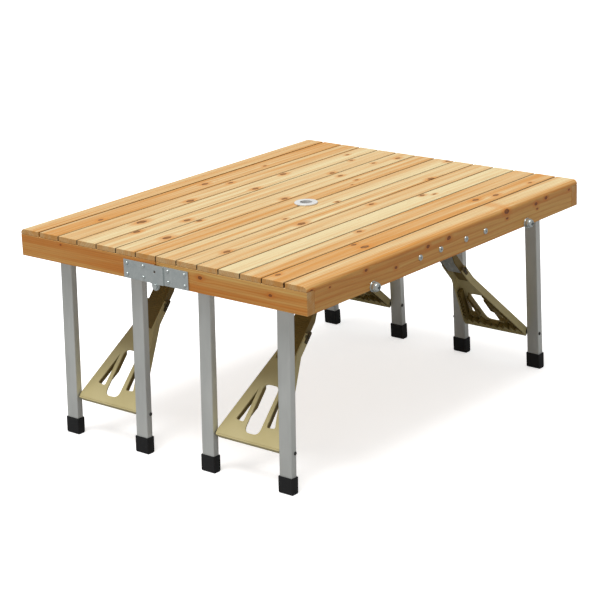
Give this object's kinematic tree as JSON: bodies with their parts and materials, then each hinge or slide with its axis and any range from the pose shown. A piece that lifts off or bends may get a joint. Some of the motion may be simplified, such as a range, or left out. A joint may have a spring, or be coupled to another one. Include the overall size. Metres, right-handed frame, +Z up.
{
  "type": "folding picnic table",
  "caption": "Low folding picnic table: slatted pine top in two hinged trays, aluminium tube legs in folding pairs, flared plastic braces",
  "frame": {"origin": "on the floor below the centre of the open table", "axes": "+Z up, +X along the boards and the fold line, +Y from the front half to the rear half"},
  "size_m": [0.8638, 0.69, 0.4033],
  "materials": {
    "pine_board": "clear-varnished knotty pine boards with eased edges, pale to orange from board to board",
    "pine_frame": "clear-varnished pine rails, a little darker than the boards",
    "aluminium_tube": "satin mill-finish rectangular tube",
    "zinc_steel": "bright zinc-plated pressed steel",
    "khaki_plastic": "moulded khaki plastic with a fine satin surface",
    "black_rubber": "matt black moulded foot caps",
    "white_plastic": "smooth white moulded plastic"
  },
  "bodies": {
    "rear_half": {"rear_edge_rail": "pine_frame", "rear_inner_rail": "pine_frame", "rear_centre_batten": "pine_frame", "rear_board_1": "pine_board", "rear_board_2": "pine_board", "rear_board_3": "pine_board", "rear_board_4": "pine_board", "rear_board_5": "pine_board", "rear_board_6": "pine_board", "rear_end_rail_left": "pine_frame", "rear_left_leg_pivot_rod": "zinc_steel", "rear_left_arm_bracket": "zinc_steel", "rear_hinge_plate_left": "zinc_steel", "rear_end_rail_right": "pine_frame", "rear_right_leg_pivot_rod": "zinc_steel", "rear_right_arm_bracket": "zinc_steel", "rear_hinge_plate_right": "zinc_steel"},
    "front_half": {"front_edge_rail": "pine_frame", "front_inner_rail": "pine_frame", "front_centre_batten": "pine_frame", "front_board_1": "pine_board", "front_board_2": "pine_board", "front_board_3": "pine_board", "front_board_4": "pine_board", "front_board_5": "pine_board", "front_board_6": "pine_board", "front_end_rail_left": "pine_frame", "front_left_leg_pivot_rod": "zinc_steel", "front_left_arm_bracket": "zinc_steel", "front_hinge_plate_left": "zinc_steel", "front_end_rail_right": "pine_frame", "front_right_leg_pivot_rod": "zinc_steel", "front_right_arm_bracket": "zinc_steel", "front_hinge_plate_right": "zinc_steel"},
    "rear_left_legs": {"rear_left_leg_inner": "aluminium_tube", "rear_left_leg_outer": "aluminium_tube", "rear_left_foot_inner": "black_rubber", "rear_left_foot_outer": "black_rubber"},
    "rear_left_panel": {"rear_left_brace_panel": "khaki_plastic"},
    "rear_left_arm": {"rear_left_brace_arm": "khaki_plastic"},
    "rear_right_legs": {"rear_right_leg_inner": "aluminium_tube", "rear_right_leg_outer": "aluminium_tube", "rear_right_foot_inner": "black_rubber", "rear_right_foot_outer": "black_rubber"},
    "rear_right_panel": {"rear_right_brace_panel": "khaki_plastic"},
    "rear_right_arm": {"rear_right_brace_arm": "khaki_plastic"},
    "front_left_legs": {"front_left_leg_inner": "aluminium_tube", "front_left_leg_outer": "aluminium_tube", "front_left_foot_inner": "black_rubber", "front_left_foot_outer": "black_rubber"},
    "front_left_panel": {"front_left_brace_panel": "khaki_plastic"},
    "front_left_arm": {"front_left_brace_arm": "khaki_plastic"},
    "front_right_legs": {"front_right_leg_inner": "aluminium_tube", "front_right_leg_outer": "aluminium_tube", "front_right_foot_inner": "black_rubber", "front_right_foot_outer": "black_rubber"},
    "front_right_panel": {"front_right_brace_panel": "khaki_plastic"},
    "front_right_arm": {"front_right_brace_arm": "khaki_plastic"},
    "grommet": {"parasol_grommet": "white_plastic"}
  },
  "joints": [
    {"name": "case_fold", "type": "hinge", "parent": "rear_half", "child": "front_half", "pos_m": [0, 0, 0.345], "axis": [1, 0, 0], "range_deg": [0, 20]},
    {"name": "rear_left_leg_fold", "type": "hinge", "parent": "rear_half", "child": "rear_left_legs", "pos_m": [-0.385, 0.173, 0.366], "axis": [0, -1, 0], "range_deg": [0, 92]},
    {"name": "rear_left_panel_hinge", "type": "hinge", "parent": "rear_left_legs", "child": "rear_left_panel", "pos_m": [-0.39162, 0.173, 0.07605], "axis": [0, -1, 0], "range_deg": [0, 40]},
    {"name": "rear_left_arm_hinge", "type": "hinge", "parent": "rear_half", "child": "rear_left_arm", "pos_m": [-0.129, 0.173, 0.3695], "axis": [0, 1, 0], "range_deg": [0, 49]},
    {"name": "rear_right_leg_fold", "type": "hinge", "parent": "rear_half", "child": "rear_right_legs", "pos_m": [0.385, 0.173, 0.366], "axis": [0, 1, 0], "range_deg": [0, 92]},
    {"name": "rear_right_panel_hinge", "type": "hinge", "parent": "rear_right_legs", "child": "rear_right_panel", "pos_m": [0.39162, 0.173, 0.07605], "axis": [0, 1, 0], "range_deg": [0, 40]},
    {"name": "rear_right_arm_hinge", "type": "hinge", "parent": "rear_half", "child": "rear_right_arm", "pos_m": [0.129, 0.173, 0.3695], "axis": [0, -1, 0], "range_deg": [0, 49]},
    {"name": "front_left_leg_fold", "type": "hinge", "parent": "front_half", "child": "front_left_legs", "pos_m": [-0.385, -0.173, 0.366], "axis": [0, -1, 0], "range_deg": [0, 92]},
    {"name": "front_left_panel_hinge", "type": "hinge", "parent": "front_left_legs", "child": "front_left_panel", "pos_m": [-0.39162, -0.173, 0.07605], "axis": [0, -1, 0], "range_deg": [0, 40]},
    {"name": "front_left_arm_hinge", "type": "hinge", "parent": "front_half", "child": "front_left_arm", "pos_m": [-0.129, -0.173, 0.3695], "axis": [0, 1, 0], "range_deg": [0, 49]},
    {"name": "front_right_leg_fold", "type": "hinge", "parent": "front_half", "child": "front_right_legs", "pos_m": [0.385, -0.173, 0.366], "axis": [0, 1, 0], "range_deg": [0, 92]},
    {"name": "front_right_panel_hinge", "type": "hinge", "parent": "front_right_legs", "child": "front_right_panel", "pos_m": [0.39162, -0.173, 0.07605], "axis": [0, 1, 0], "range_deg": [0, 40]},
    {"name": "front_right_arm_hinge", "type": "hinge", "parent": "front_half", "child": "front_right_arm", "pos_m": [0.129, -0.173, 0.3695], "axis": [0, -1, 0], "range_deg": [0, 49]},
    {"name": "grommet_lift", "type": "slide", "parent": "rear_half", "child": "grommet", "axis": [0, 0, 1], "range_m": [0, 0.03]}
  ],
  "couplings": [
    {"joint": "rear_left_panel_hinge", "follows": "rear_left_leg_fold", "ratio": 0.4329},
    {"joint": "rear_left_arm_hinge", "follows": "rear_left_leg_fold", "ratio": 0.5236},
    {"joint": "rear_right_panel_hinge", "follows": "rear_right_leg_fold", "ratio": 0.4329},
    {"joint": "rear_right_arm_hinge", "follows": "rear_right_leg_fold", "ratio": 0.5236},
    {"joint": "front_left_panel_hinge", "follows": "front_left_leg_fold", "ratio": 0.4329},
    {"joint": "front_left_arm_hinge", "follows": "front_left_leg_fold", "ratio": 0.5236},
    {"joint": "front_right_panel_hinge", "follows": "front_right_leg_fold", "ratio": 0.4329},
    {"joint": "front_right_arm_hinge", "follows": "front_right_leg_fold", "ratio": 0.5236}
  ]
}
